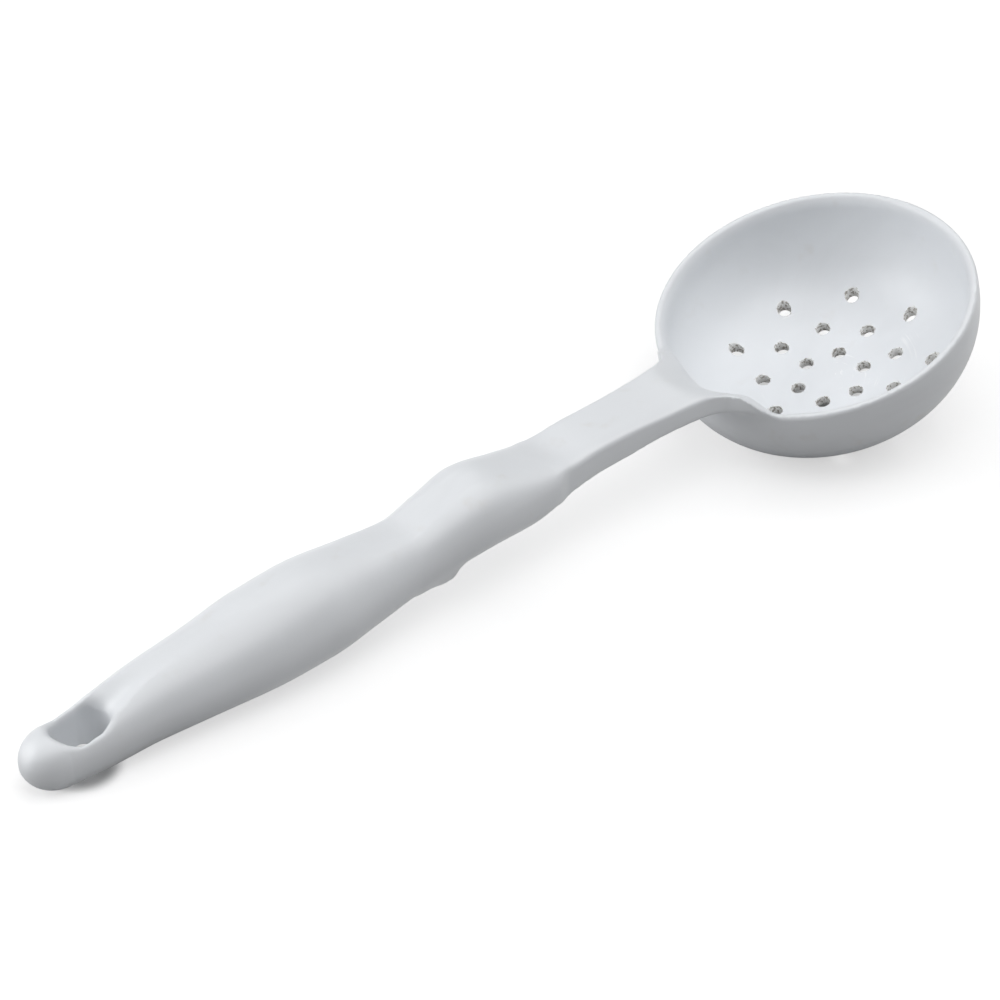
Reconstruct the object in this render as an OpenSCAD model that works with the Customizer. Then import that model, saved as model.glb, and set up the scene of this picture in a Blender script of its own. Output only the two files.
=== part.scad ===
// Perforated serving ladle, moulded in one piece of white plastic.
// It lies as it does on a table: on the underside of the bowl and the tip of the handle.
// The origin is on the table, under the middle of the ladle's length. The handle's tip
// points along -X, the bowl along +X, and +Z is up.
// The one moulding is divided into five zones that meet face to face.

/* [Whole ladle] */
// Length from the tip of the handle to the far side of the bowl
ladle_l = 300; // [270:1:360]

/* [Bowl] */
// Outer diameter of the bowl's rim
bowl_d = 89; // [76:1:100]
// Depth of the bowl outside, from the top of its rim
bowl_depth = 33; // [26:0.5:38]
// Diameter of the flat middle of the floor
floor_d = 16; // [10:1:24]
// Thickness of the bowl's wall and floor
wall_t = 3; // [2:0.1:4]
// Fullness of the bowl's curve, where 2 is an ellipse
bowl_fullness = 2.4; // [2:0.1:2.8]
// Lean of the rim, with the side at the handle low
bowl_lean = 18.6; // [12:0.2:22]

/* [Drain holes] */
// Diameter of each drain hole
drain_d = 4; // [2:0.1:5]
// Step from one ring of drain holes to the next
drain_pitch = 9.6; // [7:0.1:10.5]
// Drain holes in the inner ring
inner_holes = 6; // [4:1:6]
// Drain holes in the middle ring and in the outer ring
outer_holes = 9; // [6:1:12]

/* [Grip] */
// Length of the grip with the hanging eye, from the tip to its nose
grip_l = 154; // [135:1:175]
// Width of the grip at its belly
grip_w = 26.8; // [20:0.2:34]
// Height of the thumb hump's crest above the table
hump_h = 32.5; // [26:0.2:38]
// Length over which the tip is rounded
tip_round = 9; // [6:0.5:12]
// Depth of the thumb's hollow in front of the hump
thumb_depth = 1.3; // [0:0.1:2]

/* [Hanging eye] */
// Length of the eye, from the tip to where the grip starts
eye_l = 32; // [28:1:36]
// Width of the hanging hole at the table, a slot with round ends
hang_w = 10.4; // [8:0.2:11]
// Length of the hanging hole at the table
hang_l = 14.2; // [12:0.2:16]
// Distance from the tip to the middle of the hanging hole
hang_s = 16; // [15:0.2:18]
// Height at which the hole's wall ends and its lip starts
hang_wall = 13; // [12:0.2:15]
// How much wider the hole is there than at the table
hang_draft = 0.8; // [0:0.1:1.6]
// Depth of the scoop that leads from the grip into the hole
scoop_depth = 3; // [1:0.2:4]

/* [Neck] */
// Width of the neck at its narrowest
neck_w = 18; // [14:0.5:22]
// Thickness of the neck at the bowl
neck_t = 7.4; // [5:0.2:9]
// Height of the neck's top above the bowl's rim where they meet
neck_raise = 8.8; // [5:0.2:10]
// Length over which the neck's top rolls down into the bowl
roll_l = 16; // [10:0.5:20]
// Depth of that roll
roll_depth = 7; // [3:0.5:8]
// Step down from the grip's nose to the neck
nose_step = 0.6; // [0.2:0.1:1.5]
// Length of that step
nose_l = 3; // [2:0.5:5]
// Angle from the handle to the middle of each shoulder, where the rim rises to the neck
shoulder_angle = 26; // [20:0.5:30]
// Angle over which each shoulder rises
shoulder_spread = 14; // [10:1:24]

/* [Stop] */
// Distance from the tip to the stop's face
stop_s = 123; // [112:1:130]
// Length of the stop
stop_l = 14; // [10:0.5:18]
// Width of the stop
stop_w = 18; // [14:0.5:20]
// How far the stop reaches below the grip
stop_drop = 3.4; // [2:0.1:5]

/* [Hidden] */
$fn = 96;
// Overrun of every cut
over = 1;
plastic = [0.86, 0.87, 0.88];

// The bowl's curve, as [radius, height] with the top of the rim at height 0
bowl_r = bowl_d / 2;
floor_r = floor_d / 2;
lip_r = wall_t / 2;
curve_steps = 18;
function bowl_curve(edge_r, depth, lip) = [
    for (i = [0 : curve_steps]) let (a = 90 * i / curve_steps) [
        floor_r + (edge_r - floor_r) * pow(sin(a), 2 / bowl_fullness),
        -lip - (depth - lip) * pow(cos(a), 2 / bowl_fullness)
    ]
];
outer_curve = bowl_curve(bowl_r, bowl_depth, lip_r);
inner_curve = bowl_curve(bowl_r - wall_t, bowl_depth - wall_t, lip_r);
lip_arc = [
    for (a = [15 : 15 : 165])
        [bowl_r - lip_r + lip_r * cos(a), -lip_r + lip_r * sin(a)]
];

// Where the bowl stands: its lowest point on the table, its far side at the ladle's end
bowl_z = max([for (p = outer_curve) p[0] * sin(bowl_lean) - p[1] * cos(bowl_lean)]);
bowl_far = max([for (p = outer_curve) p[0] * cos(bowl_lean) - p[1] * sin(bowl_lean)]);
bowl_x = ladle_l / 2 - bowl_far;

// Where the neck meets the rim, measured from the tip
root_s = ladle_l / 2 + bowl_x - bowl_r * cos(bowl_lean);
root_top = bowl_z - bowl_r * sin(bowl_lean) + neck_raise;
neck_l = root_s - grip_l;

// The grip's sections: place along the grip, half width, top, underside,
// and how square the upper and the lower half are, where 2 is an ellipse
GRIP_SHARES = [
    [0.060, 0.555, 0.450, 0.000, 2.5, 2.3],
    [0.130, 0.635, 0.500, 0.012, 2.4, 2.3],
    [0.220, 0.745, 0.622, 0.040, 2.0, 2.2],
    [0.325, 0.865, 0.705, 0.043, 1.95, 2.2],
    [0.430, 0.985, 0.803, 0.045, 1.95, 2.2],
    [0.530, 1.000, 0.848, 0.079, 2.0, 2.2],
    [0.630, 0.875, 0.827, 0.157, 2.1, 2.2],
    [0.715, 0.770, 0.817, 0.231, 2.2, 2.2],
    [0.785, 0.805, 0.907, 0.310, 2.3, 2.3],
    [0.865, 0.885, 1.000, 0.379, 2.4, 2.4],
    [0.950, 0.835, 0.930, 0.424, 2.9, 2.8],
    [1.000, 0.775, 0.888, 0.492, 3.4, 3.2]
];
// The neck's sections: place along the neck, half width, rise to the root, thickness
// and how square it is
NECK_SHARES = [
    [0.10, 1.00, 0.00, 1.28, 7.0],
    [0.27, 0.98, 0.32, 1.15, 8.0],
    [0.44, 0.99, 0.48, 1.10, 8.0],
    [0.65, 1.06, 0.60, 0.93, 8.0],
    [0.87, 1.21, 0.88, 0.97, 7.0],
    [0.95, 1.42, 0.97, 1.00, 6.0],
    [1.00, 1.78, 1.00, 1.00, 5.0],
    [1.06, 2.15, 1.00, 1.00, 4.0],
    [1.14, 2.25, 1.00, 1.00, 4.0]
];
grip_end_top = hump_h * GRIP_SHARES[len(GRIP_SHARES) - 1][2];
neck_start_top = grip_end_top - nose_step;
neck_first_share = NECK_SHARES[0];
nose_thick_share = 1.05;
neck_start = [
    grip_l + nose_l,
    neck_w / 2 * neck_first_share[1],
    neck_start_top,
    neck_start_top - neck_t * neck_first_share[3] * nose_thick_share,
    neck_first_share[4],
    neck_first_share[4]
];
SECTIONS = concat(
    [for (r = GRIP_SHARES) [
        r[0] * grip_l, r[1] * grip_w / 2, r[2] * hump_h, r[3] * hump_h, r[4], r[5]
    ]],
    [neck_start],
    [for (r = NECK_SHARES)
        let (top = neck_start_top + (root_top - neck_start_top) * r[2])
        [
            grip_l + r[0] * neck_l, r[1] * neck_w / 2, top, top - r[3] * neck_t,
            r[4], r[4]
        ]
    ]
);

// The hollows along the top: place along the grip, depth, and half width as a share of the
// section's. The scoop runs out of the hanging hole, the thumb's hollow lies before the hump
SCOOP_SHARES = [
    [0.20, 0.52, 0.43],
    [0.28, 0.20, 0.30],
    [0.37, 0.08, 0.22],
    [0.46, 0, 0.18]
];
THUMB_SHARES = [
    [0.58, 0, 0.50],
    [0.70, 0.70, 0.56],
    [0.77, 1, 0.48],
    [0.81, 0.90, 0.38],
    [0.84, 0.50, 0.33],
    [0.88, 0, 0.40],
    [1, 0, 0.60]
];
// Half width of the scoop at the middle and at the end of the hanging hole
hang_mid_share = 0.66;
hang_end_share = 0.62;
hang_end = hang_s + hang_l / 2;
HOLLOWS = concat(
    [[hang_s, 0, hang_mid_share], [hang_end, scoop_depth, hang_end_share]],
    [for (r = SCOOP_SHARES) [r[0] * grip_l, r[1] * scoop_depth, r[2]]],
    [for (r = THUMB_SHARES) [r[0] * grip_l, r[1] * thumb_depth, r[2]]]
);

// A smooth curve through column k of a table of rows that start with their place
function slope(rows, i, k) =
    (rows[i + 1][k] - rows[i][k]) / (rows[i + 1][0] - rows[i][0]);
function tangent(rows, i, k) =
    i == 0 ? slope(rows, 0, k)
    : i == len(rows) - 1 ? slope(rows, i - 1, k)
    : let (a = slope(rows, i - 1, k), b = slope(rows, i, k))
        a * b <= 0 ? 0 : 2 * a * b / (a + b);
function span(rows, s) =
    max([for (i = [0 : len(rows) - 2]) if (i == 0 || rows[i][0] <= s) i]);
function along(rows, s, k) =
    let (
        i = span(rows, s),
        length = rows[i + 1][0] - rows[i][0],
        t = min(max((s - rows[i][0]) / length, 0), 1)
    )
    rows[i][k] * (1 + 2 * t) * pow(1 - t, 2)
    + rows[i + 1][k] * (3 - 2 * t) * t * t
    + tangent(rows, i, k) * length * t * pow(1 - t, 2)
    - tangent(rows, i + 1, k) * length * t * t * (1 - t);

// How softly a hollow meets the ridge on each side of it, where 1 is a crisp ridge
hollow_edge = 1.25;
// How far the top is hollowed at a place s and a distance y from the middle
function hollow(s, y, half_w) =
    s <= HOLLOWS[0][0] || s >= grip_l ? 0
    : let (reach = along(HOLLOWS, s, 2) * half_w)
        abs(y) >= reach ? 0
        : along(HOLLOWS, s, 1) * pow(1 - pow(y / reach, 2), hollow_edge);

// One section of the handle, s from the tip, where the handle ends in a small flat
section_sides = 36;
tip_curve = 0.975;
function power(v, n) = sign(v) * pow(abs(v), 2 / n);
function section(s) =
    let (
        end = s >= tip_round ? 1 : sqrt(1 - pow(tip_curve * (1 - s / tip_round), 2)),
        at = max(s, SECTIONS[0][0]),
        half_w = along(SECTIONS, at, 1) * end,
        top = along(SECTIONS, at, 2),
        under = along(SECTIONS, at, 3),
        middle = (top + under) / 2,
        half_h = (top - under) / 2 * end,
        upper = along(SECTIONS, at, 4),
        lower = along(SECTIONS, at, 5)
    )
    [
        for (i = [0 : section_sides - 1])
            let (
                a = 360 * (i + 0.5) / section_sides,
                n = a < 180 ? upper : lower,
                y = half_w * power(cos(a), n),
                z = middle + half_h * power(sin(a), n)
            )
            [s - ladle_l / 2, y, a < 180 ? z - hollow(s, y, half_w) : z]
    ];

// A closed solid through a row of sections with the same number of points
module loft(rings) {
    n = len(rings[0]);
    last = len(rings) - 1;
    points = [for (ring = rings) for (p = ring) p];
    sides = [
        for (j = [0 : last - 1], i = [0 : n - 1])
            let (k = (i + 1) % n)
            each [
                [j * n + i, (j + 1) * n + i, (j + 1) * n + k],
                [j * n + i, (j + 1) * n + k, j * n + k]
            ]
    ];
    caps = [[for (i = [0 : n - 1]) i], [for (i = [n - 1 : -1 : 0]) last * n + i]];
    polyhedron(points, concat(sides, caps));
}

// The handle between two places along it, in equal steps of about step_l
station_step = ladle_l / 80;
module handle(from_s, to_s) {
    steps = ceil((to_s - from_s) / station_step);
    loft([for (i = [0 : steps]) section(from_s + (to_s - from_s) * i / steps)]);
}

// The bowl's own frame: its axis through the origin, the top of its rim at height 0
module in_bowl() {
    translate([bowl_x, 0, bowl_z]) rotate([0, -bowl_lean, 0]) children();
}

// The bowl's outside with the space above its rim, in one turned shape
module bowl_room() {
    rotate_extrude()
        polygon(concat([[0, -bowl_depth]], outer_curve, [[bowl_r, collar_h], [0, collar_h]]));
}

drain_sides = 48;
module drain_ring(radius, count, turn) {
    for (i = [0 : count - 1])
        rotate(turn + 360 * i / count)
            translate([radius, 0, -bowl_depth - over])
                cylinder(d = drain_d, h = bowl_depth, $fn = drain_sides);
}

// The rim's rise to the neck: a part of the wall's ring, under a curve across the ladle
shoulder_steps = 24;
shoulder_reach = shoulder_angle + shoulder_spread / 2;
collar_h = 2 * neck_raise;
function rim_height(a) = bowl_z - bowl_r * cos(a) * sin(bowl_lean);
function shoulder_rise(a) =
    let (t = min(max((shoulder_reach - abs(a)) / shoulder_spread, 0), 1))
    t * t * (3 - 2 * t);
module collar() {
    low = rim_height(0) - wall_t;
    edge = bowl_r * sin(shoulder_reach);
    intersection() {
        in_bowl() translate([0, 0, -lip_r]) difference() {
            cylinder(r = bowl_r, h = collar_h);
            translate([0, 0, -over])
                cylinder(r = bowl_r - wall_t, h = collar_h + 2 * over);
        }
        translate([bowl_x - bowl_r, 0, 0]) rotate([90, 0, 90])
            linear_extrude(bowl_r / 2)
                polygon(concat(
                    [[-edge, low]],
                    [
                        for (j = [0 : shoulder_steps])
                            let (
                                a = shoulder_reach * (2 * j / shoulder_steps - 1),
                                foot = rim_height(a) - wall_t
                            )
                            [bowl_r * sin(a), foot + (root_top - foot) * shoulder_rise(a)]
                    ],
                    [[edge, low]]
                ));
    }
}

// What the root leaves open: above a curve that rolls the neck's top into the bowl and
// leaves that top at a small angle
roll_steps = 10;
roll_turn = 65;
roll_limit_share = 0.8;
module root_roll() {
    slant = tan(bowl_lean);
    edge_r = bowl_r - wall_t;
    end_r = edge_r + roll_l;
    deck = (root_top - bowl_z) / cos(bowl_lean);
    roll_h = min(roll_depth, roll_limit_share * neck_raise);
    high = collar_h + roll_l;
    rotate_extrude()
        polygon(concat(
            [
                for (i = [0 : roll_steps])
                    let (
                        a = roll_turn * i / roll_steps,
                        r = edge_r + roll_l * (1 - cos(a)) / (1 - cos(roll_turn))
                    )
                    [r, deck + r * slant - roll_h * (1 - sin(a) / sin(roll_turn))]
            ],
            [
                [end_r + 2 * over, deck + end_r * slant + 2 * over],
                [end_r + 2 * over, high],
                [edge_r - over, high],
                [edge_r - over, deck + edge_r * slant - roll_h]
            ]
        ));
}

// A slot with round ends from one height and width to another height and width
module slot(from_z, to_z, from_w, to_w) {
    reach = (hang_l - hang_w) / 2;
    for (x = [-reach, reach])
        translate([x, 0, from_z]) cylinder(d1 = from_w, d2 = to_w, h = to_z - from_z);
    translate([reach, 0, 0]) rotate([90, 0, -90]) linear_extrude(2 * reach)
        polygon([
            [-from_w / 2, from_z], [from_w / 2, from_z], [to_w / 2, to_z], [-to_w / 2, to_z]
        ]);
}

// The hanging hole, whose lip opens at 45 degrees
module hanging_hole() {
    mouth_w = hang_w + hang_draft;
    translate([hang_s - ladle_l / 2, 0, 0]) {
        slot(-over, hang_wall, hang_w, mouth_w);
        slot(hang_wall, hump_h, mouth_w, mouth_w + 2 * (hump_h - hang_wall));
    }
}

module bowl() {
    color(plastic) union() {
        in_bowl() difference() {
            rotate_extrude()
                polygon(concat(
                    [[0, -bowl_depth]], outer_curve, lip_arc,
                    [for (i = [curve_steps : -1 : 0]) inner_curve[i]],
                    [[0, wall_t - bowl_depth]]
                ));
            drain_ring(drain_pitch, inner_holes, 180 / inner_holes);
            drain_ring(2 * drain_pitch, outer_holes, 90);
            drain_ring(3 * drain_pitch, outer_holes, 90 + 180 / outer_holes);
        }
        difference() {
            collar();
            in_bowl() root_roll();
        }
    }
}

// The neck runs on into the bowl's wall and is cut off by its outside
neck_overrun_share = 1.15;
module neck() {
    color(plastic) difference() {
        handle(grip_l, grip_l + neck_l * neck_overrun_share);
        in_bowl() bowl_room();
        in_bowl() root_roll();
    }
}

module grip() {
    color(plastic) difference() {
        handle(eye_l, grip_l);
        hanging_hole();
    }
}

// The stop swells the underside: place as a share of its length, and share of its drop,
// where a drop below zero lies inside the grip
STOP_SHARES = [
    [-0.10, -0.70],
    [0.12, 0],
    [0.45, 0.42],
    [0.80, 0.95],
    [0.92, 1],
    [1.02, 0.65],
    [1.14, 0],
    [1.32, -0.70]
];
stop_sides = 15;
stop_rings = 16;
function stop_section(s) =
    let (
        share = (s - stop_s + stop_l) / stop_l,
        middle = (along(SECTIONS, s, 2) + along(SECTIONS, s, 3)) / 2,
        depth = middle - along(SECTIONS, s, 3) + stop_drop * along(STOP_SHARES, share, 1),
        n = along(SECTIONS, s, 5)
    )
    [
        for (i = [0 : stop_sides])
            let (a = 180 + 180 * i / stop_sides)
            [s - ladle_l / 2, stop_w / 2 * power(cos(a), n), middle + depth * power(sin(a), n)]
    ];
module finger_stop() {
    first = stop_s - stop_l * (1 - STOP_SHARES[0][0]);
    last = stop_s - stop_l * (1 - STOP_SHARES[len(STOP_SHARES) - 1][0]);
    color(plastic) difference() {
        loft([
            for (i = [0 : stop_rings])
                stop_section(first + (last - first) * i / stop_rings)
        ]);
        handle(first - station_step, last + station_step);
    }
}

module hanging_eye() {
    tip_rings = 6;
    flat = acos(tip_curve);
    body_rings = 9;
    rings = concat(
        [
            for (i = [0 : tip_rings - 1])
                let (a = flat + (90 - flat) * i / tip_rings)
                tip_round * (1 - cos(a) / tip_curve)
        ],
        [for (i = [0 : body_rings]) tip_round + (eye_l - tip_round) * i / body_rings]
    );
    color(plastic) difference() {
        loft([for (s = rings) section(s)]);
        hanging_hole();
    }
}

bowl();
neck();
grip();
finger_stop();
hanging_eye();
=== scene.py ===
"""A perforated serving ladle, moulded in one piece of white plastic, on a pale table.

The ladle is one closed surface. A field says how far any point is from the moulding:
the handle's sections, the bowl's turned profile, the shoulders, the finger stop and the
hanging hole are blended in it as a mould blends them. The surface is netted from that
field, and a node tree bores the drain holes through it with rounded edges.
Shape sizes are in millimetres, scene sizes in metres.
"""

import math

import bpy
import numpy as np
from bpy.props import (
    FloatProperty,
    FloatVectorProperty,
    IntProperty,
    PointerProperty,
)
from bpy.types import Operator, Panel, PropertyGroup
from mathutils import Matrix, Vector


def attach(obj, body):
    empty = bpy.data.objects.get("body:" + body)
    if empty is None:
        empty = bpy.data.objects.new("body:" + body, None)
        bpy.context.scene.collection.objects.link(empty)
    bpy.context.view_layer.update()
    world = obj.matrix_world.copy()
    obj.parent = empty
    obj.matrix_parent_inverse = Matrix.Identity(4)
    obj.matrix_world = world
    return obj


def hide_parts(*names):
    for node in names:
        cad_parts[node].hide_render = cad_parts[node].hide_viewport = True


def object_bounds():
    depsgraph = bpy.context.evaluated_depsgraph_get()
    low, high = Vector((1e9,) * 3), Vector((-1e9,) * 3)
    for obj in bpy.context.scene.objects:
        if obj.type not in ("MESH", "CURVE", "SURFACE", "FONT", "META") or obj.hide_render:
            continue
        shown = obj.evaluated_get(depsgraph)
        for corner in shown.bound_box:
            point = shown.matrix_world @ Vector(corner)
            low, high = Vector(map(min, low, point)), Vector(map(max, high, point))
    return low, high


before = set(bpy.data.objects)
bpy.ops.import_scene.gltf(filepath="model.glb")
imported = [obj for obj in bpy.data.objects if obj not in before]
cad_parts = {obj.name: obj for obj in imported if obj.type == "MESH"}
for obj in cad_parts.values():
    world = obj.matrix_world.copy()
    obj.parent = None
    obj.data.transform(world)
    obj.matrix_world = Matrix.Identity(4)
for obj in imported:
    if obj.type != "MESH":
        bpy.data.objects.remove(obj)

bl_info = {
    "name": "Perforated Ladle",
    "version": (1, 0, 0),
    "blender": (4, 5, 0),
    "location": "3D View > Sidebar > Ladle",
    "description": "Builds a one-piece moulded serving ladle with drain holes",
    "category": "Add Mesh",
}

CAD_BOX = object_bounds()
MM = 0.001
NODES = ("bowl", "neck", "grip", "finger_stop", "hanging_eye")
LENGTH = (CAD_BOX[1].x - CAD_BOX[0].x) / MM
WIDTH = (CAD_BOX[1].y - CAD_BOX[0].y) / MM
HEIGHT = CAD_BOX[1].z / MM

# Bowl, in its own frame: axis along Z, top of the rim at height 0
FLOOR_R = 8.0  # radius of the flat floor
TOP_ROUND_SHARE = 0.5  # height of the upright lip under the rim, as a share of the wall
PROFILE_POINTS = 721  # points on the profile from the floor to the rim
SINK_REACH_SHARE = 0.8  # half angle of the root's sink, as a share of the shoulder angle
MOUTH_LIFT = 2.0  # beyond its roll, the bowl's mouth lifts off the top by one in this
MOUTH_ROUND = 0.6  # reach of the rounding where the mouth meets the outside

# Handle
NOSE_T_SHARE = 1.05  # thickness where the nose's step ends, as a share of the neck's there
HOLLOW_EDGE = 1.25  # how a hollow fades out sideways, where 1 is a parabola
STOP_BLEND = 1.2  # reach of the rounding between grip and finger stop
HANDLE_OVERRUN = 14.0  # how far past the root the handle runs on into the bowl
HANDLE_END_ROUND = 1.0  # reach of the rounding at that end
HOLE_WALL_H = 13.0  # height over which the hanging hole's draft is given
HOLE_FOOT_H = 7.0  # height up to which the hanging hole has its foot's rounding
HOLE_FOOT_ROUND = 1.0  # reach of that rounding

# Field
LIST_OVERRUN = 18.0  # how far past the root the handle's sections are listed
LIST_STEP = 0.1  # step from one listed section to the next
HANDLE_RANGE = (-20.0, 8.0)  # range in which distances from handle and stop are held
TINY = 1e-3  # keeps a division away from zero
LEAST_SLOPE = 0.05  # least slope of the mouth's field, which is flat beyond its roll

# Net
NET_MARGIN = 1.6  # meshes kept free all round the moulding
SETTLE_ROUNDS = 3  # how often the net is evened out
EVEN_SHARE = 0.6  # how far a point then moves to the middle of its neighbours
LAY_STEPS = 2  # steps in which a point is laid on the surface
LEAST_SQUARE = 0.05  # least square of the field's slope in such a step
BOX_GAP = 1e-4  # how far every point stays inside the ladle's box
ON_SURFACE = 0.03  # a point nearer than this is on the moulding, and not in a bore

# Grip sections: place, half width, top, underside as shares, then how square the
# upper and the lower half are, where 2 is an ellipse
GRIP_SHARES = (
    (0.060, 0.555, 0.450, 0.000, 2.5, 2.3),
    (0.130, 0.635, 0.500, 0.012, 2.4, 2.3),
    (0.220, 0.745, 0.622, 0.040, 2.0, 2.2),
    (0.325, 0.865, 0.705, 0.043, 1.95, 2.2),
    (0.430, 0.985, 0.803, 0.045, 1.95, 2.2),
    (0.530, 1.000, 0.848, 0.079, 2.0, 2.2),
    (0.630, 0.875, 0.827, 0.157, 2.1, 2.2),
    (0.715, 0.770, 0.817, 0.231, 2.2, 2.2),
    (0.785, 0.805, 0.907, 0.310, 2.3, 2.3),
    (0.865, 0.885, 1.000, 0.379, 2.4, 2.4),
    (0.950, 0.835, 0.930, 0.424, 2.9, 2.8),
    (1.000, 0.775, 0.888, 0.492, 3.4, 3.2),
)
# Neck sections: place along the neck, half width, rise to the root, thickness, squareness
NECK_SHARES = (
    (0.10, 1.00, 0.00, 1.28, 7.0),
    (0.27, 0.98, 0.32, 1.15, 8.0),
    (0.44, 0.99, 0.48, 1.10, 8.0),
    (0.65, 1.06, 0.60, 0.93, 8.0),
    (0.87, 1.21, 0.88, 0.97, 7.0),
    (0.95, 1.42, 0.97, 1.00, 6.0),
    (1.00, 1.78, 1.00, 1.00, 5.0),
    (1.06, 2.15, 1.00, 1.00, 4.0),
    (1.14, 2.25, 1.00, 1.00, 4.0),
)
# The stop's swell: place along the stop, and drop, where below zero lies inside the grip
STOP_SHARES = (
    (-0.10, -0.70),
    (0.12, 0.00),
    (0.45, 0.42),
    (0.80, 0.95),
    (0.92, 1.00),
    (1.02, 0.65),
    (1.14, 0.00),
    (1.32, -0.70),
)
# Hollows in the grip's top: place along the grip, depth, and half width of the section.
# The scoop starts in the hanging hole, with a half width at the hole's middle and its end
SCOOP_MOUTH_SHARES = (0.66, 0.62)
SCOOP_SHARES = (
    (0.20, 0.52, 0.43),
    (0.28, 0.20, 0.30),
    (0.37, 0.08, 0.22),
    (0.46, 0.00, 0.18),
    (0.58, 0.00, 0.50),
)
THUMB_SHARES = (
    (0.70, 0.70, 0.56),
    (0.77, 1.00, 0.48),
    (0.81, 0.90, 0.38),
    (0.84, 0.50, 0.33),
    (0.88, 0.00, 0.40),
    (1.00, 0.00, 0.60),
)

# Rings of drain holes from the middle outwards: what gives their number, and their turn
# about the bowl's axis in degrees
DRAIN_RINGS = (("Inner holes", 30.0), ("Outer holes", 90.0), ("Outer holes", 110.0))
# One hole's cutter, ring by ring from inside the bowl to under it: how much wider it is
# than the hole and how far it lies above the wall's face, both in edge radii, and which
# face it follows, where 0 is the inner one and 1 the outer
CUTTER_SHARES = (
    (1.6, 6.0, 0),
    (1.5, 0.134, 0),
    (0.5, -0.134, 0),
    (0.134, -0.5, 0),
    (0, -1, 0),
    (0, 1, 1),
    (0.134, 0.5, 1),
    (0.5, 0.134, 1),
    (1.5, -0.134, 1),
    (1.6, -6.0, 1),
)
CUTTER_SIDES = 40

# Plastic: how strongly each mark shows, from 0 to 1
FLOW_SHARE = 0.5
STAIN_SHARE = 0.35
WORN_SHARE = 0.7
# The dark specks at the drain holes are partly residue and partly painted shade
SPECK_SHARE = 0.7
SPECK_NEAR = 0.04  # how much denser the specks are right at a hole
# The marks of stirring, metres and radians: how closely they lie along a radius, how often
# they break on the way round, and the radius and height within which they lie
ARC_STEP = 900.0
ARC_BREAK = 1.3
ARC_R = 0.033
ARC_TOP = -0.012
# What unevenness and scratches add to the roughness, then the relief of the surface
ROUGH_SPREAD = 0.12
SCRATCH_ROUGH = 0.08
GRAIN_SHARE = 0.25
SCRATCH_SHARE = 0.3
BUMP_STRENGTH = 0.10
BUMP_DEPTH = 0.0004
PLASTIC_IOR = 1.49

# Table: half its side in metres, then distances in mm between which its glow changes.
# Seen directly, it sets in round the bowl's middle, and in the hanging hole within the
# hole's own width, which paints a shadow under the bowl and in the hole. Mirrored in the
# plastic, it sets in farther out round both, which paints a shadow into the table's reflection. It
# grows to that of the far table with the distance from the ladle's middle
TABLE_HALF = 6.0
BOWL_PAINTED_SHADOW = (5, 26)
BOWL_MIRRORED_SHADOW = (26, 54)
TIP_MIRRORED_SHADOW = (15, 60)
FAR_TABLE = (230, 800)
FAR_GLOW = 1.05

# Lights, metres: name, width and depth, and place. All face the same point
LAMPS = (
    ("overhead", (1.5, 1.4), (0.15, -0.17, 1.1)),
    ("back", (0.9, 0.9), (-0.85, 0.75, 0.42)),
    ("front", (0.9, 0.9), (-0.25, -0.55, 1.1)),
    ("side", (0.9, 0.9), (1.15, 0, 0.4)),
)
LAMP_AIM = (0, 0, 0)

# Camera, metres: its directions, the point it faces and how far it stands off, then its
# lens and sensor in mm, and the nearest and farthest it sees
CAMERA_RIGHT = (0.76382, -0.64543, 0)
CAMERA_UP = (0.36130, 0.42757, 0.82864)
CAMERA_AIM = (-0.00704, 0, 0.02010)
CAMERA_AWAY = 0.6862
CAMERA_LENS = 97.2
CAMERA_SENSOR = 36
CAMERA_RANGE = (0.01, 50)

# What every colour among the settings has in common
COLOUR = {"subtype": "COLOR", "size": 3, "min": 0, "max": 1}


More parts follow.
